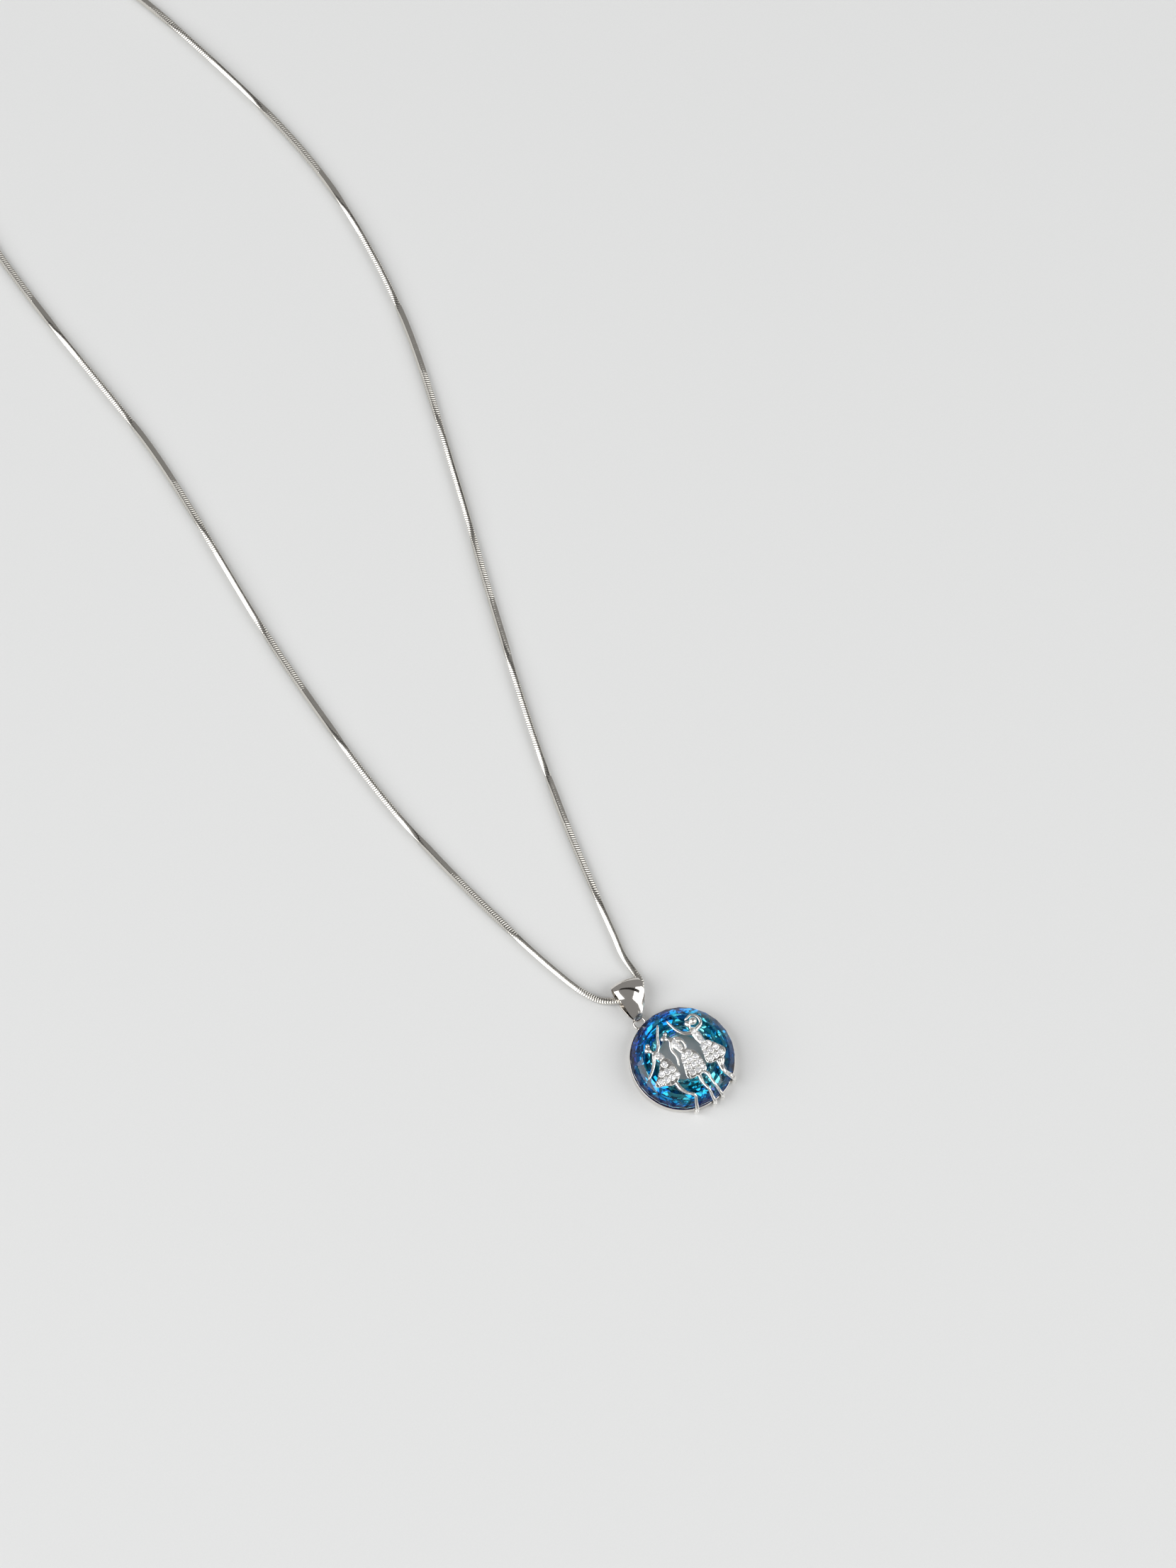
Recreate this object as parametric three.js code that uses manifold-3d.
// Pendant necklace: a ring-shaped crystal in an open silver cup, three cast dancers with
// pave stones in front of it, a folded leaf bail, and a square snake chain with a lobster clasp.
// Units are millimetres. +Z is up, the necklace lies on z = 0, and +Y runs from the crystal to the bail.

import * as THREE from 'three';
import { mergeVertices } from 'three/addons/utils/BufferGeometryUtils.js';
import Module from 'manifold-3d';

const wasm = await Module();
wasm.setup();

// ---------------------------------------------------------------- driving dimensions

const GAP = 0.05; // between two pieces that rest on or sit in each other

const DISC_Y = -4.4; // the crystal's centre, so that the pendant and bail are centred on the origin

const CRYSTAL = {
  outerR: 10.08,
  holeR: 4.75,
  tableOuterR: 7.95,
  tableInnerR: 5.55,
  baseOuterR: 8.0,
  thickness: 4.35,
  girdleHeight: 0.5,
  crownHeight: 2.0,
  innerBevelHeight: 0.75,
  sides: 24,
};

const CUP = {
  floor: 0.5,
  flangeInnerR: 7.0,
  lip: 0.15,
  segments: 72,
};

const EYELET = { ringR: 1.15, wireR: 0.25, z: 1.3, solderSink: 0.5 };

const BAIL = {
  yaw: THREE.MathUtils.degToRad(26),
  length: 7.4,
  depth: 3.8,
  thickness: 0.4,
  topHalfWidth: 2.95,
  tipHalfWidth: 0.4,
  floorLift: 0.07,
  backTaper: 0.17,
  loopClearance: 0.14,
};

// The bail's side beyond its loop, back to front, as shares of its length and depth.
const BAIL_SIDE = [
  [0.25, 0.03],
  [0.55, 0],
  [0.78, 0.013],
  [0.95, 0.3],
  [0.99, 0.55],
  [0.93, 0.85],
  [0.78, 1],
  [0.52, 0.96],
  [0.24, 0.71],
];

// The leaf's edge, as shares of its top half width and of its length.
const BAIL_LEAF = [
  [0.42, 0.12],
  [0.68, 0.27],
  [0.86, 0.48],
  [0.96, 0.75],
  [1, 1],
];

const FIGURE = {
  thickness: 0.8,
  edge: 0.12,
  headR: 0.62,
  neckR: 0.3,
  armR: 0.27,
  legR: 0.36,
  prongR: 0.4,
  prongFoot: 0.8,
  limbSides: 8,
};

const STONE = {
  skirtR: 0.5,
  bodiceR: 0.36,
  skirtGap: 0.15,
  bodiceGap: 0.04,
  pocketDepth: 0.46,
  proud: 0.14,
  sides: 8,
};

const CHAIN = { width: 1.2, chamfer: 0.16 };

const CAP = { wall: 0.3, edge: 0.15, length: 3.4, endWall: 0.5, z: 1.3 };

const TAB = { holeR: 0.62, rim: 0.48, thickness: 0.5, reach: 0.9 };
const CATCH_TAB = { holeR: 0.8, rim: 0.45, thickness: 0.5, reach: 0.9 };

const JUMP_RING = { ringR: 1.5, wireR: 0.28, floorLift: 0.04 };
const CATCH_RING = { ringR: 2.1, wireR: 0.32, floorLift: 0.03 };

const CLASP = {
  thickness: 0.9,
  edge: 0.1,
  baseThickness: 1.5,
  leverThickness: 0.5,
  leverClearance: 0.06,
  pinR: 0.2,
  pinClearance: 0.04,
  pivot: [2.7, -1.45],
  hookInnerX: 8.1,
  hookWidth: 0.9,
  springR: 0.09,
};

// The snake chain's centre line, from the clasp's end along the left strand, through the bail
// and along the right strand to the catch ring's end.
const CHAIN_ROUTE = [
  [50.4, 236.4, 1.3],
  [46.8, 232.1, 1.2],
  [41.6, 224.8, 0.7],
  [36.2, 212.0, 0.65],
  [32.4, 197.0, 0.62],
  [25.0, 158.6, 0.62],
  [20.0, 141.4, 0.62],
  [9.2, 108.0, 0.62],
  [1.2, 74.4, 0.62],
  [-1.2, 57.5, 0.62],
  [-2.5, 40.5, 0.62],
  [-2.9, 27.0, 0.62],
  [-2.5, 18.7, 0.64],
  [-1.6, 15.3, 0.75],
  [-0.5, 13.7, 1.0],
  [0.7, 12.5, 1.14],
  [2.0, 11.5, 1.16],
  [3.4, 10.9, 1.16],
  [4.8, 10.8, 1.16],
  [5.9, 11.25, 1.16],
  [6.6, 12.2, 1.05],
  [7.1, 13.6, 0.75],
  [8.2, 17.6, 0.64],
  [10.3, 21.9, 0.62],
  [14.0, 29.7, 0.62],
  [21.7, 45.0, 0.62],
  [30.4, 60.2, 0.62],
  [49.2, 90.1, 0.62],
  [59.2, 105.1, 0.62],
  [78.2, 135.9, 0.62],
  [86.0, 152.6, 0.62],
  [91.6, 170.0, 0.62],
  [94.9, 190.0, 0.62],
  [96.3, 227.0, 0.62],
  [94.4, 244.0, 0.62],
  [87.8, 256.8, 0.65],
  [77.2, 261.2, 0.8],
];

// ---------------------------------------------------------------- derived places

const crystalBaseZ = CUP.floor + GAP;
const tableZ = crystalBaseZ + CRYSTAL.thickness;
const girdleTopZ = tableZ - CRYSTAL.crownHeight;
const girdleBottomZ = girdleTopZ - CRYSTAL.girdleHeight;
const cupTopZ = girdleBottomZ - 2 * GAP;
const cupOuterR = CRYSTAL.outerR + CUP.lip;
const figureZ = tableZ + GAP;
const eyeletY = cupOuterR + EYELET.ringR - EYELET.solderSink;
const figureTopZ = figureZ + FIGURE.thickness;
const socketWidth = CHAIN.width + 2 * GAP;
const leverSlot = CLASP.leverThickness + 2 * CLASP.leverClearance;

// ---------------------------------------------------------------- materials

const finish = (color, roughness, metalness) => new THREE.MeshStandardMaterial({ color, roughness, metalness });
const polishedSilver = () => finish(0xd9dadb, 0.14, 1);
const castSilver = () => finish(0xdedddb, 0.2, 1);
const crystalBlue = () => finish(0x1279b8, 0.04, 0);
const whiteStone = () => finish(0xf4f6f8, 0.02, 0);
const springSteel = () => finish(0xa9acb0, 0.3, 1);

// ---------------------------------------------------------------- helpers

/** A curve whose steps follow its route points, so that close points give short steps. */
class RoutePath extends THREE.CatmullRomCurve3 {
  getUtoTmapping(u) {
    return u;
  }
}

/** Turns a closed three.js geometry into a solid that can be joined and cut. */
function solid(geometry) {
  const bare = new THREE.BufferGeometry();
  bare.setAttribute('position', geometry.getAttribute('position').clone());
  if (geometry.index) bare.setIndex(geometry.index.clone());
  const merged = mergeVertices(bare, 1e-4);
  const index = merged.index.array;
  const triangles = [];
  for (let i = 0; i < index.length; i += 3) {
    const [a, b, c] = [index[i], index[i + 1], index[i + 2]];
    if (a !== b && b !== c && c !== a) triangles.push(a, b, c);
  }
  const vertProperties = new Float32Array(merged.getAttribute('position').array);
  return new wasm.Manifold(new wasm.Mesh({ numProp: 3, vertProperties, triVerts: new Uint32Array(triangles) }));
}

/** Turns a solid back into a three.js geometry. */
function toGeometry(body) {
  const mesh = body.getMesh();
  const geometry = new THREE.BufferGeometry();
  geometry.setAttribute('position', new THREE.BufferAttribute(new Float32Array(mesh.vertProperties), 3));
  geometry.setIndex(new THREE.BufferAttribute(new Uint32Array(mesh.triVerts), 1));
  geometry.computeVertexNormals();
  return geometry;
}

/** Sweeps a closed outline of [radius, z] points once around the Z axis. */
function turned(profile, sides) {
  const points = profile.map(([r, z]) => new THREE.Vector2(r, z));
  return new THREE.LatheGeometry(points, sides).rotateX(Math.PI / 2);
}

/** Joins several geometries into one solid. */
function join(geometries) {
  return geometries.map(solid).reduce((whole, piece) => whole.add(piece));
}

/** A named mesh in a group, at a place. */
function addPiece(group, name, geometry, material, position = [0, 0, 0]) {
  const mesh = new THREE.Mesh(geometry, material);
  mesh.name = name;
  mesh.position.set(...position);
  group.add(mesh);
  return mesh;
}

/** An upright cylinder around (x, y) between two heights. */
function upright(x, y, radius, bottom, top, sides) {
  const cylinder = new THREE.CylinderGeometry(radius, radius, top - bottom, sides);
  return cylinder.rotateX(Math.PI / 2).translate(x, y, (top + bottom) / 2);
}

/** A flat plate from an outline of [x, y] points, between two heights. */
function plate(outline, bottom, top, edge = 0) {
  const shape = new THREE.Shape(outline.map(([x, y]) => new THREE.Vector2(x, y)));
  const depth = top - bottom - 2 * edge;
  const bevel = { bevelThickness: edge, bevelSize: edge, bevelOffset: -edge, bevelSegments: 1 };
  const options = { depth, bevelEnabled: edge > 0, ...bevel };
  return new THREE.ExtrudeGeometry(shape, options).translate(0, 0, bottom + edge);
}

/** A round limb along route points, with a radius at each point and round ends. */
function limb(points, radii, stepsBetween = 3) {
  const path = new RoutePath(points.map((p) => new THREE.Vector3(...p)));
  const steps = stepsBetween * (points.length - 1);
  const { tangents, normals, binormals } = path.computeFrenetFrames(steps, false);
  const geometry = new THREE.CapsuleGeometry(1, 1, 2, FIGURE.limbSides, steps);
  const position = geometry.getAttribute('position');
  for (let i = 0; i < position.count; i++) {
    const along = THREE.MathUtils.clamp(position.getY(i) + 0.5, 0, 1);
    const past = position.getY(i) + 0.5 - along;
    const step = Math.round(along * steps);
    const place = along * (radii.length - 1);
    const before = Math.min(Math.floor(place), radii.length - 2);
    const radius = THREE.MathUtils.lerp(radii[before], radii[before + 1], place - before);
    const point = path.getPoint(along);
    point.addScaledVector(tangents[step], past * radius);
    point.addScaledVector(binormals[step], position.getX(i) * radius);
    point.addScaledVector(normals[step], position.getZ(i) * radius);
    position.setXYZ(i, point.x, point.y, point.z);
  }
  return geometry;
}

/** A ring of round wire standing in the plane of local X and Z, with its lowest point above z = 0. */
function standingRing({ ringR, wireR }) {
  return new THREE.TorusGeometry(ringR, wireR, 8, 28).rotateX(Math.PI / 2);
}

const ringCentreZ = ({ ringR, wireR, floorLift }) => ringR + wireR + floorLift;

/** How far from its centre a standing ring crosses the height z. */
function ringReach(ring, z) {
  return Math.sqrt(ring.ringR ** 2 - (ringCentreZ(ring) - z) ** 2);
}

// ---------------------------------------------------------------- crystal and cup

/** The faceted ring: each ring of corners is turned half a side from the next one. */
function crystalRing() {
  const c = CRYSTAL;
  const profile = [
    [c.tableInnerR, crystalBaseZ, 0],
    [c.baseOuterR, crystalBaseZ, 1],
    [c.outerR, girdleBottomZ, 0],
    [c.outerR, girdleTopZ, 0],
    [c.tableOuterR, tableZ, 1],
    [c.tableInnerR, tableZ, 0],
    [c.holeR, tableZ - c.innerBevelHeight, 1],
    [c.holeR, crystalBaseZ + c.innerBevelHeight, 1],
    [c.tableInnerR, crystalBaseZ, 0],
  ];
  const corners = profile.map(([r, z]) => new THREE.Vector2(r, z));
  const lathe = new THREE.LatheGeometry(corners, c.sides);
  const position = lathe.getAttribute('position');
  const halfSide = Math.PI / c.sides;
  for (let i = 0; i < position.count; i++) {
    const turn = profile[i % profile.length][2] * halfSide;
    const [x, z] = [position.getX(i), position.getZ(i)];
    const turnedX = x * Math.cos(turn) + z * Math.sin(turn);
    const turnedZ = z * Math.cos(turn) - x * Math.sin(turn);
    position.setXYZ(i, turnedX, position.getY(i), turnedZ);
  }
  return lathe.rotateX(Math.PI / 2);
}

/** The open cup: a flange under the crystal and a wall that follows its sloping back. */
function cup() {
  const slope = (CRYSTAL.outerR - CRYSTAL.baseOuterR) / (girdleBottomZ - crystalBaseZ);
  const seatR = CRYSTAL.baseOuterR + 1.5 * GAP;
  const lipR = seatR + slope * (cupTopZ - CUP.floor);
  const profile = [
    [CUP.flangeInnerR, 0],
    [cupOuterR, 0],
    [cupOuterR, cupTopZ],
    [lipR, cupTopZ],
    [seatR, CUP.floor],
    [CUP.flangeInnerR, CUP.floor],
    [CUP.flangeInnerR, 0],
  ];
  return turned(profile, CUP.segments);
}

/** The hanging loop, lying in the crystal's plane and fitted to the cup's wall. */
function eyelet() {
  const ring = new THREE.TorusGeometry(EYELET.ringR, EYELET.wireR, 8, 28).translate(0, eyeletY, EYELET.z);
  const wall = upright(0, 0, cupOuterR + GAP, -1, tableZ, CUP.segments);
  return toGeometry(solid(ring).subtract(solid(wall)));
}

// ---------------------------------------------------------------- bail

/** The bail's side outline, moved in or out by an offset, as [along, height] points. */
function bailSide(offset) {
  const loop = EYELET.wireR + BAIL.loopClearance + BAIL.thickness / 2;
  const low = BAIL.floorLift + BAIL.thickness / 2;
  const side = BAIL_SIDE.map(([along, up]) => [EYELET.ringR + along * BAIL.length, low + up * BAIL.depth]);
  const centreLine = [
    [EYELET.ringR - loop, EYELET.z],
    [EYELET.ringR, EYELET.z - loop],
    ...side,
    [EYELET.ringR, EYELET.z + loop],
  ];
  const curve = new THREE.CatmullRomCurve3(centreLine.map(([x, y]) => new THREE.Vector3(x, y, 0)), true);
  const count = 44;
  const outline = [];
  for (let i = 0; i < count; i++) {
    const point = curve.getPoint(i / count);
    const tangent = curve.getTangent(i / count);
    outline.push([point.x + offset * tangent.y, point.y - offset * tangent.x]);
  }
  return outline;
}

/** The leaf seen from above: narrow at the eyelet, widest at the top fold, and narrower behind. */
function bailLeaf() {
  const { length, topHalfWidth, tipHalfWidth, thickness } = BAIL;
  const margin = 2 * thickness;
  const edge = BAIL_LEAF.map(([width, along]) => [width * topHalfWidth, EYELET.ringR + along * length]);
  const right = [
    [tipHalfWidth, -margin],
    [tipHalfWidth, EYELET.ringR],
    ...edge,
    [topHalfWidth, EYELET.ringR + length + margin],
  ];
  const left = right.map(([x, y]) => [-x, y]).reverse();
  const height = BAIL.floorLift + BAIL.depth + margin;
  const leaf = plate([...right, ...left], 0, height);
  const position = leaf.getAttribute('position');
  for (let i = 0; i < position.count; i++) {
    const taper = 1 - BAIL.backTaper * (1 - position.getZ(i) / height);
    position.setX(i, position.getX(i) * taper);
  }
  return leaf;
}

/** The folded strip: the side outline across the leaf's width, cut to the leaf's shape. */
function bail() {
  const outer = bailSide(BAIL.thickness / 2);
  const inner = bailSide(-BAIL.thickness / 2);
  const shape = new THREE.Shape(outer.map(([x, y]) => new THREE.Vector2(x, y)));
  shape.holes.push(new THREE.Path(inner.map(([x, y]) => new THREE.Vector2(x, y))));
  const width = 3 * BAIL.topHalfWidth;
  const strip = new THREE.ExtrudeGeometry(shape, { depth: width, bevelEnabled: false });
  strip.translate(0, 0, -width / 2).rotateX(Math.PI / 2).rotateZ(Math.PI / 2);
  return toGeometry(solid(strip).intersect(solid(bailLeaf())));
}

// ---------------------------------------------------------------- dancers and stones

// Places on a dancer are measured from the crystal's centre.

/** The path of a prong from the table's edge, over the crown and down the cup's wall. */
function prongPath(degrees) {
  const clear = FIGURE.prongR + GAP;
  const angle = THREE.MathUtils.degToRad(degrees);
  const wallR = cupOuterR + clear;
  const profile = [
    [CRYSTAL.tableOuterR + 0.8 * clear, tableZ + clear],
    [(CRYSTAL.tableOuterR + CRYSTAL.outerR) / 2 + 0.8 * clear, (tableZ + girdleTopZ) / 2 + 0.95 * clear],
    [wallR - GAP, girdleTopZ + 5 * GAP],
    [wallR, cupTopZ],
    [wallR, FIGURE.prongFoot],
  ];
  return profile.map(([r, z]) => [r * Math.cos(angle), r * Math.sin(angle), z]);
}

/** The stones of a skirt, in rows of the given counts from the waist to the hem. */
function skirtStones({ waist, hem, across, counts }) {
  const pitch = 2 * STONE.skirtR + STONE.skirtGap;
  const stones = [];
  counts.forEach((count, row) => {
    const down = (row + 0.62) / (counts.length + 0.15);
    const x = THREE.MathUtils.lerp(waist[0], hem[0], down);
    const y = THREE.MathUtils.lerp(waist[1], hem[1], down);
    for (let i = 0; i < count; i++) {
      const side = (i - (count - 1) / 2) * pitch;
      stones.push({ x: x + across[0] * side, y: y + across[1] * side, radius: STONE.skirtR });
    }
  });
  return stones;
}

/** The stones of a bodice, in one row down its middle from the shoulders. */
function bodiceStones({ line, stones }) {
  const middle = new THREE.CatmullRomCurve3(line.map(([x, y]) => new THREE.Vector3(x, y, 0)));
  const pitch = 2 * STONE.bodiceR + STONE.bodiceGap;
  const places = [];
  for (let i = 0; i < stones; i++) {
    const { x, y } = middle.getPointAt(((i + 0.45) * pitch) / middle.getLength());
    places.push({ x, y, radius: STONE.bodiceR });
  }
  return places;
}

const DANCERS = [
  {
    name: 'dancer_left',
    head: [-4.1, 5.5],
    bun: { place: [-3.5, 6.2], radius: 0.45 },
    neck: [-3.8, 4.6],
    bodice: { line: [[-3.65, 4.0], [-3.5, 3.1], [-3.55, 2.1]], widths: [0.72, 0.85, 0.62], stones: 2 },
    arms: [
      [[-3.3, 4.0], [-2.2, 4.6], [-0.9, 5.9], [0.7, 7.3]],
      [[-4.2, 4.0], [-5.2, 3.1], [-6.6, 2.3], [-8.0, 1.8]],
    ],
    skirt: [
      [-4.1, 2.3], [-2.9, 2.0], [-2.85, 0.2], [-3.75, -2.2],
      [-5.9, -2.6], [-7.2, -1.5], [-8.6, -0.3], [-6.0, 1.0],
    ],
    legs: [{ line: [[-5.1, -2.2], [-5.55, -3.9], [-5.3, -5.5]], prong: -124 }],
    rows: { waist: [-3.65, 2.2], hem: [-6.05, -1.75], across: [0.92, -0.39], counts: [1, 3, 4] },
  },
  {
    name: 'dancer_middle',
    head: [-0.3, 4.75],
    bun: { place: [0.5, 5.25], radius: 0.45 },
    neck: [0.25, 4.0],
    bodice: { line: [[0.5, 3.3], [0.45, 2.0], [0.35, 0.6]], widths: [0.8, 0.85, 0.65], stones: 3 },
    arms: [
      [[0.1, 3.5], [-1.0, 2.2], [-1.3, 0.7], [-2.2, -0.6]],
      [[1.2, 3.3], [1.75, 2.4], [1.7, 1.3], [1.05, 0.3]],
    ],
    skirt: [
      [-0.4, 0.3], [1.1, 0.3], [1.9, -1.4], [1.4, -3.8],
      [0.65, -5.2], [-1.3, -4.9], [-3.1, -3.9], [-1.9, -1.7],
    ],
    legs: [
      { line: [[-0.9, -4.5], [-1.5, -5.7], [-1.8, -6.7]], prong: -103.5 },
      { line: [[0.0, -4.9], [0.2, -6.0], [-0.1, -7.0]], prong: -93 },
    ],
    rows: { waist: [0.35, 0.4], hem: [-0.7, -4.6], across: [0.93, -0.36], counts: [2, 3, 3, 3] },
  },
  {
    name: 'dancer_right',
    head: [5.0, 3.3],
    bun: { place: [6.1, 3.0], radius: 0.72 },
    neck: [4.8, 2.4],
    bodice: { line: [[4.75, 1.7], [4.5, 0.3], [4.2, -1.2]], widths: [0.8, 0.85, 0.62], stones: 4 },
    arms: [
      [[5.3, 1.5], [6.9, 1.5], [7.75, 3.0], [7.1, 4.5], [5.8, 4.7]],
      [[4.1, 1.7], [3.1, 2.7], [2.6, 4.3], [2.7, 6.4]],
    ],
    skirt: [
      [3.6, -1.2], [4.9, -1.4], [5.8, -3.4], [6.1, -5.2],
      [4.8, -6.0], [3.1, -5.5], [1.75, -4.6], [2.7, -2.7],
    ],
    legs: [
      { line: [[3.5, -5.2], [3.35, -6.0], [2.95, -6.8]], prong: -71.5 },
      { line: [[4.6, -5.5], [4.15, -6.3], [3.3, -6.9]], prong: -70 },
    ],
    rows: { waist: [4.25, -1.0], hem: [3.85, -5.4], across: [0.95, -0.3], counts: [2, 3, 3] },
  },
];

/** Every stone of one dancer, with its place and radius. */
function stonesOf(dancer) {
  return [...skirtStones(dancer.rows), ...bodiceStones(dancer.bodice)];
}

/** A bodice: a limb pressed flat to the figure's thickness. */
function bodice({ line, widths }) {
  const half = FIGURE.thickness / 2;
  const round = limb(line.map(([x, y]) => [x, y, 0]), widths);
  return round.scale(1, 1, half / Math.max(...widths)).translate(0, 0, figureZ + half);
}

/** A head or bun, sitting on the crystal's table. */
function ball([x, y], radius) {
  return new THREE.SphereGeometry(radius, 10, 8).scale(1, 1, 0.8).translate(x, y, figureZ + 0.8 * radius);
}

/** One cast figure with its prongs, and pockets cut for its stones. */
function dancerBody({ name, head, bun, neck, bodice: trunk, arms, skirt, legs, rows }) {
  const { headR, neckR, armR, legR, prongR, thickness, edge } = FIGURE;
  const flat = (line, radius) => line.map(([x, y]) => [x, y, figureZ + radius]);
  const armRadii = [1.15, 1, 0.85, 0.75, 0.7].map((share) => share * armR);
  const legRadii = [1, 0.95, 0.8, 0.8, 0.85, 1, 1, 0.9].map((share) => share * prongR);
  const pieces = [
    ball(head, headR),
    ball(bun.place, bun.radius),
    limb(flat([head, neck, trunk.line[0]], neckR), [0.93, 0.8, 1.2].map((share) => share * neckR), 2),
    bodice(trunk),
    plate(skirt, figureZ, figureTopZ, edge),
    ...arms.map((line) => limb(flat(line, armRadii[0]), armRadii.slice(0, line.length))),
    ...legs.map(({ line, prong }) => limb([...flat(line, legR), ...prongPath(prong)], legRadii, 2)),
  ];
  const pockets = stonesOf({ name, rows, bodice: trunk }).map(({ x, y, radius }) =>
    upright(x, y, radius + GAP, figureTopZ - STONE.pocketDepth, figureTopZ + thickness, 10),
  );
  return toGeometry(pockets.map(solid).reduce((body, pocket) => body.subtract(pocket), join(pieces)));
}

/** A round stone: a flat table, a sloping crown and a pointed pavilion. */
function stone(radius) {
  const lowest = -(STONE.pocketDepth - GAP);
  const profile = [
    [0, lowest],
    [radius, lowest * 0.25],
    [radius, 0],
    [radius * 0.58, STONE.proud],
    [0, STONE.proud],
  ];
  return turned(profile, STONE.sides);
}

// ---------------------------------------------------------------- chain and clasp

/** The chain's square section with its corners cut off. */
function chainSection() {
  const [h, c] = [CHAIN.width / 2, CHAIN.chamfer];
  const corners = [
    [h, h - c], [h - c, h], [c - h, h], [-h, h - c],
    [-h, c - h], [c - h, -h], [h - c, -h], [h, c - h],
  ];
  return new THREE.Shape(corners.map(([x, y]) => new THREE.Vector2(x, y)));
}

/** The chain as one closed bar along a route. */
function chain(route) {
  const path = new RoutePath(route.map((p) => new THREE.Vector3(...p)));
  const steps = 2 * (route.length - 1);
  return new THREE.ExtrudeGeometry(chainSection(), { steps, extrudePath: path, bevelEnabled: false });
}

/** An end cap with the chain's socket toward -X and its flat hanging tab around the origin. */
function endCap(tab) {
  const half = socketWidth / 2 + CAP.wall;
  const square = [[-half, -half], [half, -half], [half, half], [-half, half]];
  const back = -tab.reach;
  const mouth = back - CAP.length;
  const block = plate(square, 0, CAP.length, CAP.edge).rotateY(Math.PI / 2).translate(mouth, 0, 0);
  const socket = new THREE.BoxGeometry(CAP.length, socketWidth, socketWidth);
  socket.translate(back - CAP.endWall - CAP.length / 2, 0, 0);
  const disc = upright(0, 0, tab.holeR + tab.rim, -tab.thickness / 2, tab.thickness / 2, 24);
  const hole = upright(0, 0, tab.holeR, -1, 1, 24);
  return toGeometry(join([block, disc]).subtract(solid(socket)).subtract(solid(hole)));
}

/** A flat outline that runs smoothly through each group of points, with a corner between groups. */
function splinePlate(groups, halfThickness, edge) {
  const shape = new THREE.Shape();
  groups.forEach(([first, ...rest], i) => {
    if (i === 0) shape.moveTo(...first);
    else shape.lineTo(...first);
    shape.splineThru(rest.map(([x, y]) => new THREE.Vector2(x, y)));
  });
  return plate(shape.getPoints(2).map(({ x, y }) => [x, y]), -halfThickness, halfThickness, edge);
}

/** The clasp's body: an eye at the origin, a base with the lever's slot, and the hook. */
function claspBody() {
  const { thickness, baseThickness, edge, pivot, pinR, pinClearance, hookInnerX: inner, hookWidth } = CLASP;
  const outer = inner + hookWidth;
  const back = [[0.9, 0.45], [2.0, 1.5], [3.8, 2.35], [outer - 3, 2.5], [outer - 1, 1.9], [outer, 0.2]];
  const tip = [[outer - 0.6, -1.8], [inner - 1.15, -2.4]];
  const mouth = [[inner - 1.15, -1.8], [inner - 0.3, -1.1], [inner, 0], [inner - 0.4, 1], [inner - 1.4, 1.55]];
  const throat = [[4.9, 1.5], [3.75, 0.62]];
  const heel = [[3.65, -1.0], [3.3, -2.0], [2.4, -2.3], [1.5, -1.8], [0.9, -0.45]];
  const hook = [[...back, ...tip], [...mouth, ...throat], heel];
  const base = [
    [[1.1, 0.4], [2.0, 1.2], [3.5, 1.5]],
    [[3.65, 0.62], [3.65, -1.0], [3.3, -2.0], [2.4, -2.3], [1.5, -1.8], [1.1, -0.6]],
  ];
  const neckLength = 0.6;
  const eyeR = TAB.holeR + TAB.rim;
  const whole = join([
    splinePlate(hook, thickness / 2, edge),
    splinePlate(base, baseThickness / 2, edge),
    upright(0, 0, eyeR, -TAB.thickness / 2, TAB.thickness / 2, 24),
    new THREE.BoxGeometry(neckLength, eyeR, TAB.thickness).translate(eyeR - 0.05, 0, 0),
  ]);
  const slot = new THREE.BoxGeometry(2.9, 2.6, leverSlot).translate(2.85, -2.05, 0);
  const eyeHole = upright(0, 0, TAB.holeR, -baseThickness, baseThickness, 24);
  const pinHole = upright(pivot[0], pivot[1], pinR + pinClearance, -baseThickness, baseThickness, 12);
  return toGeometry(whole.subtract(join([slot, eyeHole, pinHole])));
}

/** The lever that closes the hook, with its thumb tab and the pin's hole. */
function claspLever() {
  const { leverThickness, pivot, pinR, pinClearance } = CLASP;
  const outline = [
    [[2.25, -1.15], [3.0, -0.95], [4.6, -1.45], [6.83, -1.86]],
    [[6.83, -2.35], [4.6, -2.15], [3.3, -2.2], [2.7, -2.95], [2.1, -3.05], [2.2, -2.2]],
  ];
  const bar = solid(splinePlate(outline, leverThickness / 2, leverThickness / 8));
  const hole = upright(pivot[0], pivot[1], pinR + pinClearance, -leverThickness, leverThickness, 12);
  return toGeometry(bar.subtract(solid(hole)));
}

/** The lever's spring: a short bent wire in the slot, behind the lever's heel. */
function leverSpring() {
  const line = [[1.62, -1.7, 0], [1.55, -1.25, 0], [1.75, -0.92, 0], [2.02, -1.1, 0], [2.0, -1.5, 0]];
  return limb(line, line.map(() => CLASP.springR), 2);
}

// ---------------------------------------------------------------- assembly

/** The crystal, its cup, the eyelet, the dancers and their stones, around the crystal's centre. */
function buildPendant() {
  const pendant = new THREE.Group();
  pendant.position.set(0, DISC_Y, 0);
  addPiece(pendant, 'crystal_ring', crystalRing(), crystalBlue());
  addPiece(pendant, 'cup', cup(), polishedSilver());
  addPiece(pendant, 'eyelet', eyelet(), polishedSilver());
  for (const dancer of DANCERS) {
    addPiece(pendant, dancer.name, dancerBody(dancer), castSilver());
    stonesOf(dancer).forEach(({ x, y, radius }, i) => {
      const name = `stone_${dancer.name.replace('dancer_', '')}_${String(i + 1).padStart(2, '0')}`;
      addPiece(pendant, name, stone(radius), whiteStone(), [x, y, figureTopZ]);
    });
  }
  return pendant;
}

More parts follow.
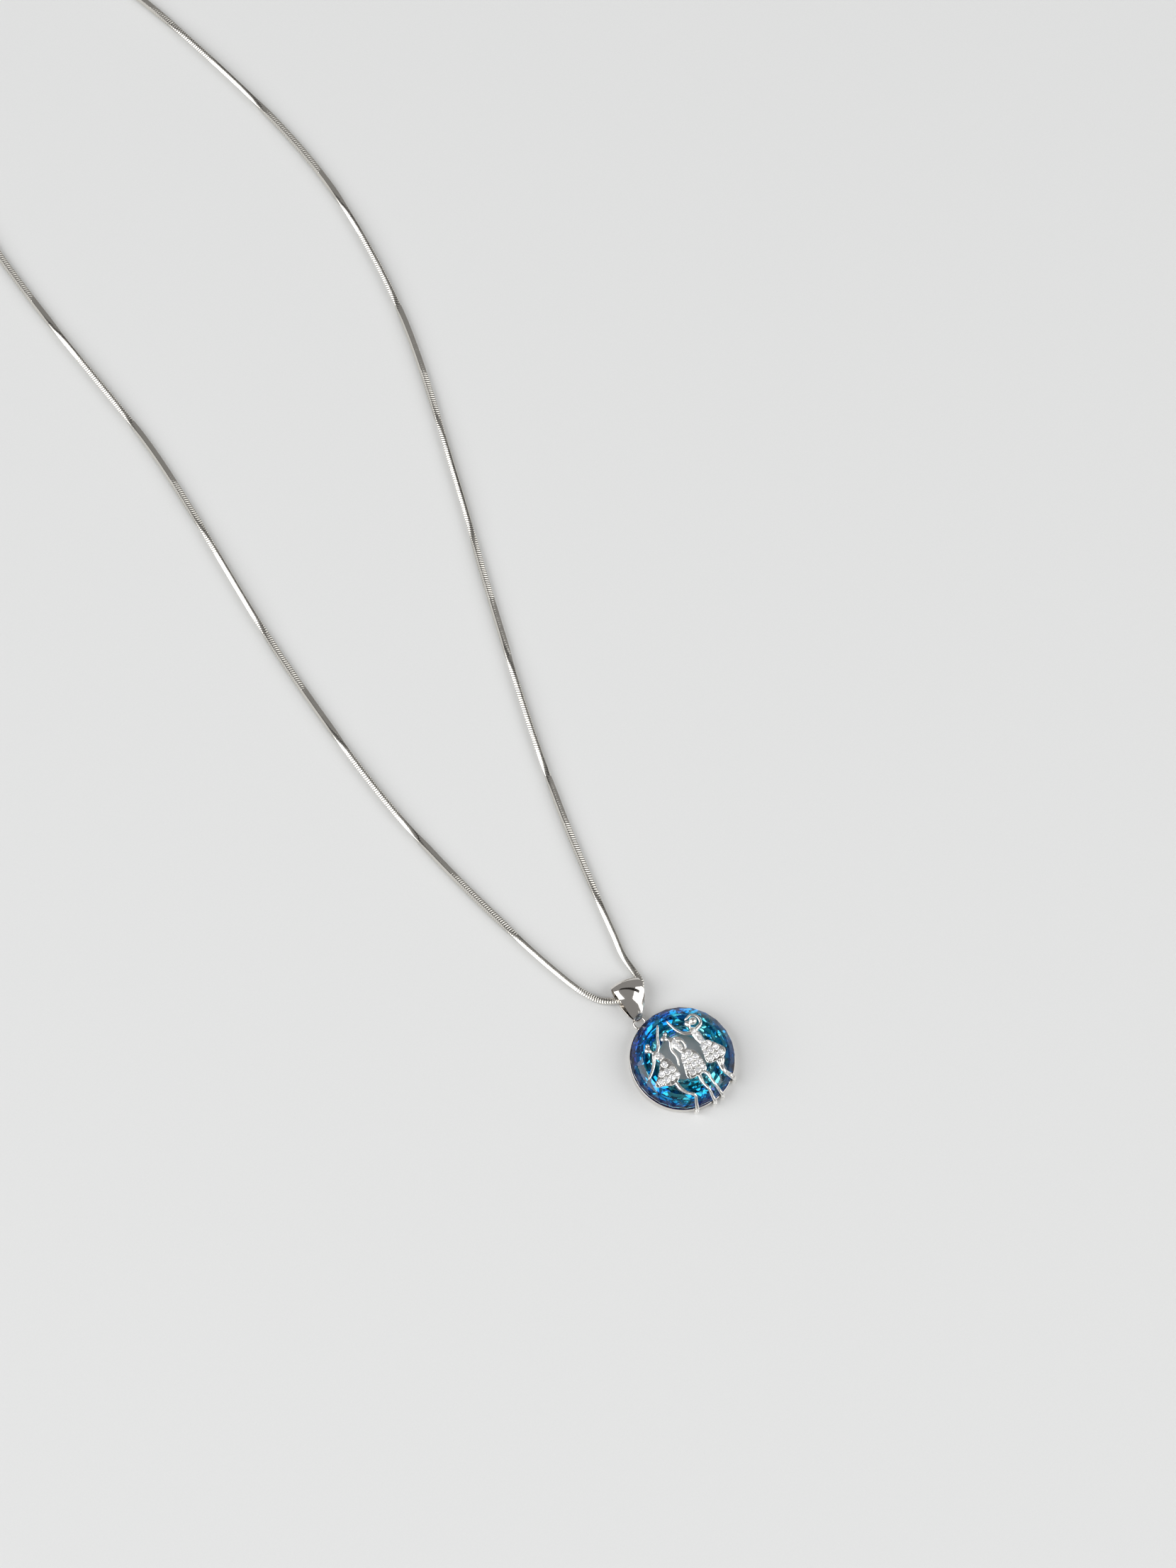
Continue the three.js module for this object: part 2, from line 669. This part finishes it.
/** The bail, turned about the eyelet to where it lies. */
function buildBail() {
  const group = new THREE.Group();
  group.position.set(0, DISC_Y + eyeletY, 0);
  group.rotation.z = -BAIL.yaw;
  addPiece(group, 'bail', bail(), polishedSilver());
  return group;
}

/** The two end caps, the rings and the clasp, in line between the chain's two ends. */
function buildClasp() {
  const line = new THREE.Group();
  const [startX, startY] = CHAIN_ROUTE[0];
  const [beforeX, beforeY] = CHAIN_ROUTE[1];
  const heading = Math.atan2(startY - beforeY, startX - beforeX);
  const toTab = TAB.reach + CAP.endWall + GAP;
  line.position.set(startX + toTab * Math.cos(heading), startY + toTab * Math.sin(heading), CAP.z);
  line.rotation.z = heading;

  const jumpX = ringReach(JUMP_RING, CAP.z);
  const claspX = 2 * jumpX;
  const hookUnderside = CAP.z - CLASP.thickness / 2;
  const innerR = CATCH_RING.ringR - CATCH_RING.wireR - GAP;
  const catchZ = ringCentreZ(CATCH_RING);
  const catchX = claspX + CLASP.hookInnerX + Math.sqrt(innerR ** 2 - (catchZ - hookUnderside) ** 2);
  const catchTabX = catchX + ringReach(CATCH_RING, CAP.z);

  addPiece(line, 'end_cap_clasp', endCap(TAB), polishedSilver());
  const jumpZ = ringCentreZ(JUMP_RING);
  addPiece(line, 'jump_ring', standingRing(JUMP_RING), polishedSilver(), [jumpX, 0, jumpZ - CAP.z]);
  addPiece(line, 'catch_ring', standingRing(CATCH_RING), polishedSilver(), [catchX, 0, catchZ - CAP.z]);
  addPiece(line, 'end_cap_catch', endCap(CATCH_TAB).rotateZ(Math.PI), polishedSilver(), [catchTabX, 0, 0]);

  const clasp = new THREE.Group();
  clasp.position.set(claspX, 0, 0);
  line.add(clasp);
  const [pinX, pinY] = CLASP.pivot;
  addPiece(clasp, 'clasp_body', claspBody(), polishedSilver());
  addPiece(clasp, 'clasp_lever', claspLever(), polishedSilver());
  const halfPin = CLASP.baseThickness / 2;
  addPiece(clasp, 'clasp_pin', upright(pinX, pinY, CLASP.pinR, -halfPin, halfPin, 12), polishedSilver());
  addPiece(clasp, 'clasp_spring', leverSpring(), springSteel());
  return { line, catchTabX, heading, toTab };
}

/** The chain's route, closed with the point where it enters the catch ring's end cap. */
function closedRoute({ line, catchTabX, heading, toTab }) {
  const reach = catchTabX + CATCH_TAB.reach + CAP.endWall + GAP;
  const at = (x) => [line.position.x + x * Math.cos(heading), line.position.y + x * Math.sin(heading), CAP.z];
  return [...CHAIN_ROUTE, at(reach + 2.4 * CAP.length), at(reach + 1.2 * CAP.length), at(reach)];
}

const group = new THREE.Group();
const clasp = buildClasp();
group.add(buildPendant());
group.add(buildBail());
group.add(clasp.line);
addPiece(group, 'chain', chain(closedRoute(clasp)), polishedSilver());

export default group;
